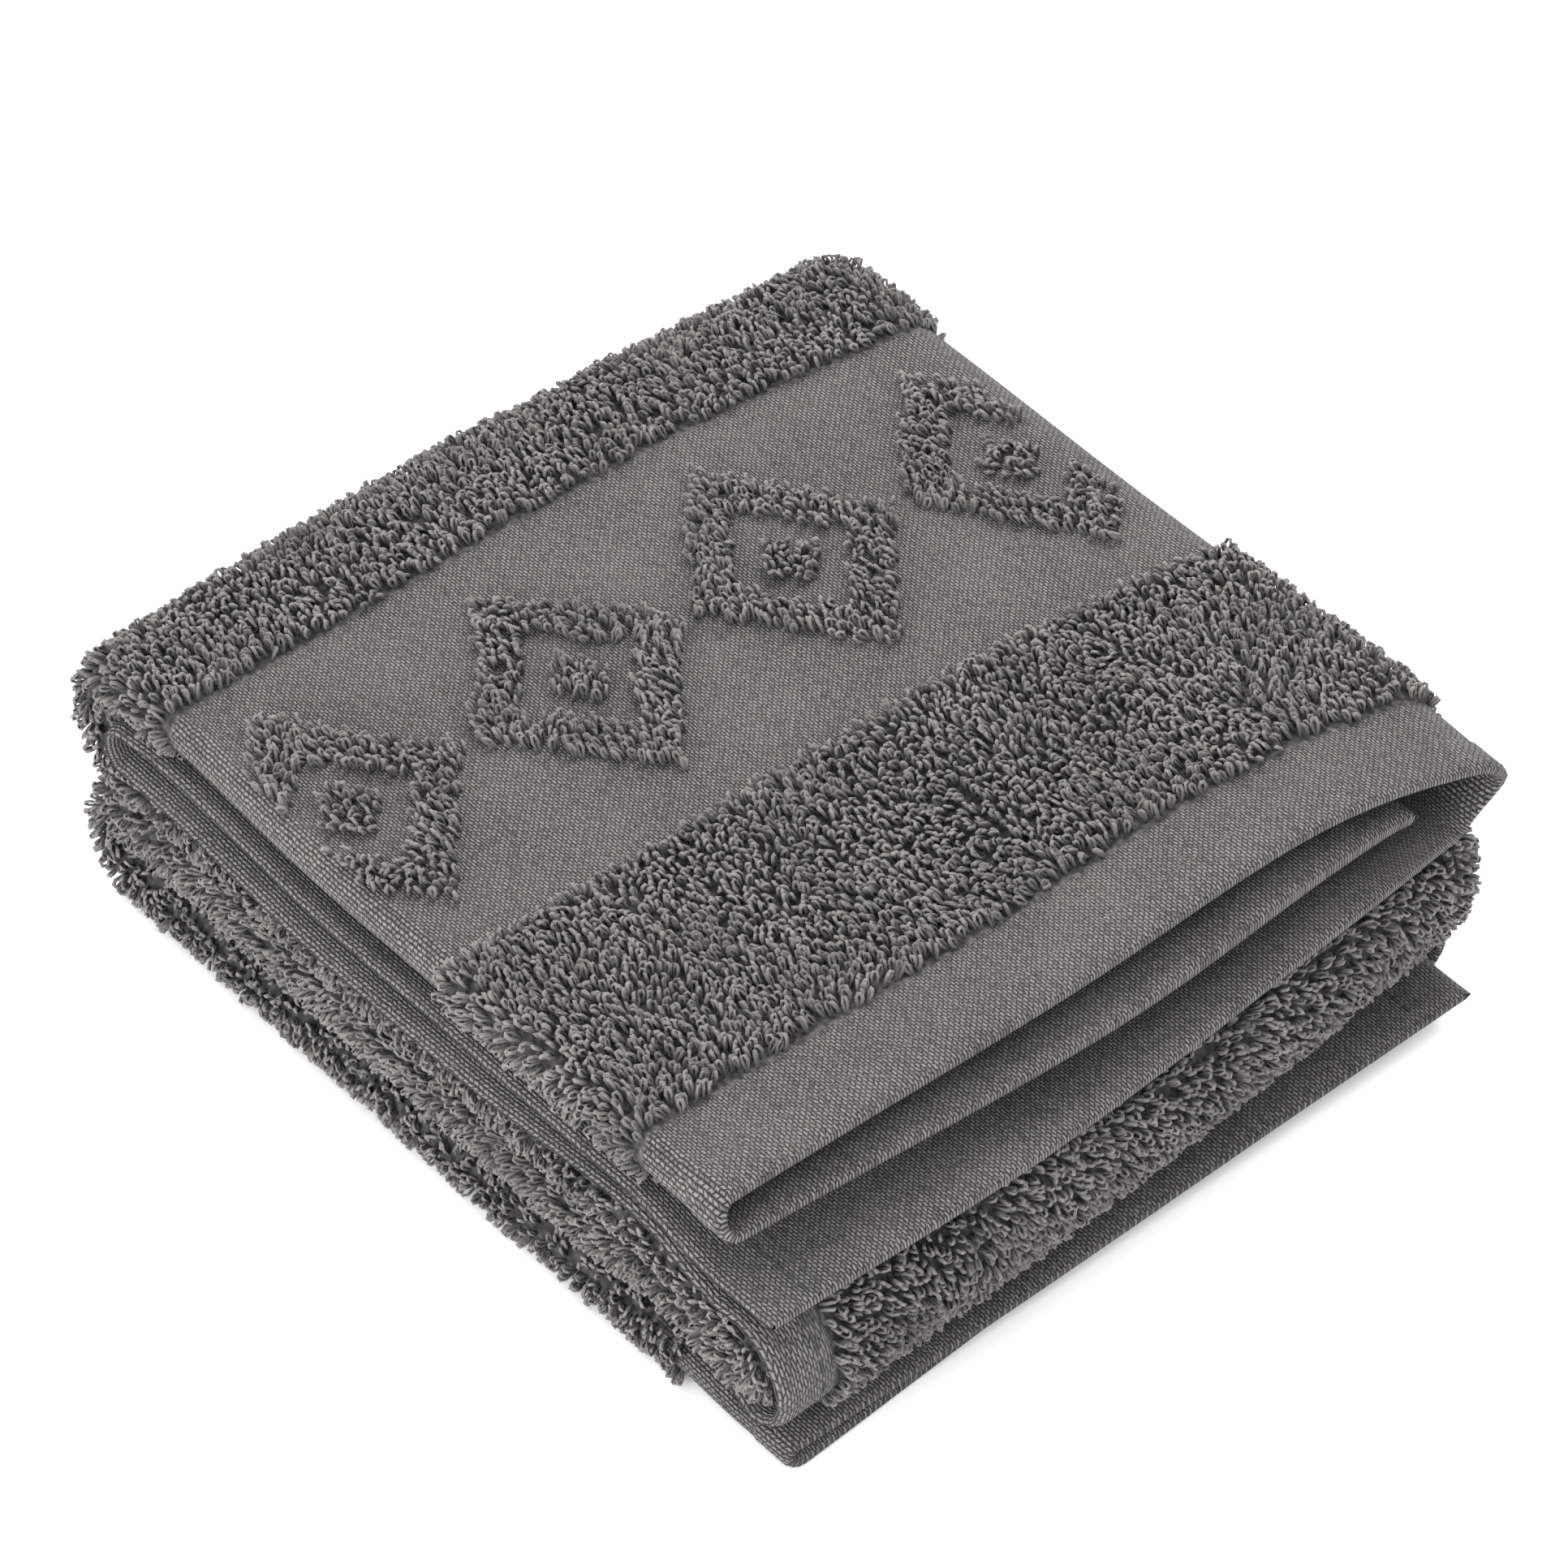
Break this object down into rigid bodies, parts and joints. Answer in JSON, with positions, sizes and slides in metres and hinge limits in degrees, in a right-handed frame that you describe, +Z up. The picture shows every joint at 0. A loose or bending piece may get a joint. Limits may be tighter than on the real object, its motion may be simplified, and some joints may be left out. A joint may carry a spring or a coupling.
{
  "type": "folded gym towel",
  "caption": "Terry gym towel with a flat woven band, folded in thirds and then back and forth into a low square stack for a shelf or bench.",
  "frame": {"origin": "centre of the bounding box in X and Y, at the underside the towel lies on", "axes": "+Z up through the stack; +Y from the two hems towards the back folds; +X from the left face, where the side hems show, to the right face"},
  "size_m": [0.1772, 0.1974, 0.0603],
  "materials": {
    "terry": "looped cotton pile with flat woven band and hems"
  },
  "bodies": {
    "root": {"towel": "terry"}
  },
  "joints": []
}
